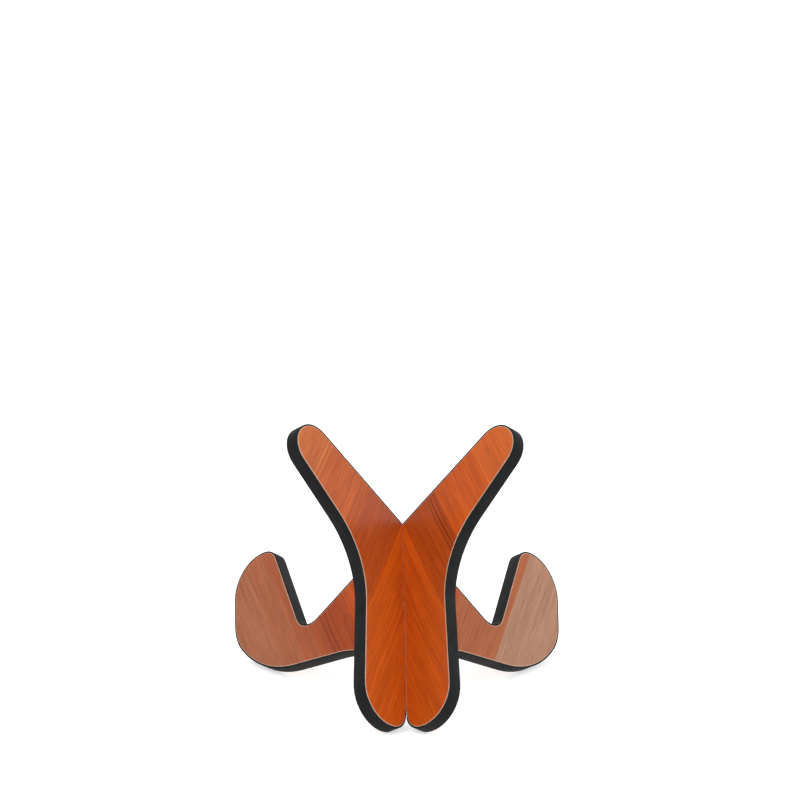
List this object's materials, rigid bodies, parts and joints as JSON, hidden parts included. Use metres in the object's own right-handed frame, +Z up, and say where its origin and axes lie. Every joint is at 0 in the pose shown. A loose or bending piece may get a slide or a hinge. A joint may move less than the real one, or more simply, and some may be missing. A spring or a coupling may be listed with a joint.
{
  "type": "floor stand for a stringed instrument",
  "caption": "Low floor stand of veneered wooden boards that cross in slots, with a soft black edge strip, arms to lean on and notched feet.",
  "frame": {"origin": "centre of the stand's box, on the floor", "axes": "+Z up; -Y is the side of the front legs, to which the arms lean; +Y is the side of the cradle feet"},
  "size_m": [0.292, 0.2698, 0.2342],
  "materials": {
    "veneer": "satin lacquered reddish-orange veneer",
    "core_wood": "bare plywood",
    "soft_edge": "matt black soft strip"
  },
  "bodies": {
    "left_board": {"left_core": "core_wood", "left_upper_veneer": "veneer", "left_under_veneer": "veneer", "left_edge_strip": "soft_edge"},
    "right_board": {"right_core": "core_wood", "right_upper_veneer": "veneer", "right_under_veneer": "veneer", "right_edge_strip": "soft_edge"}
  },
  "joints": [
    {"name": "lift_apart", "type": "slide", "parent": "left_board", "child": "right_board", "axis": [0, 0.6687, 0.7436], "range_m": [0, 0.08]}
  ]
}
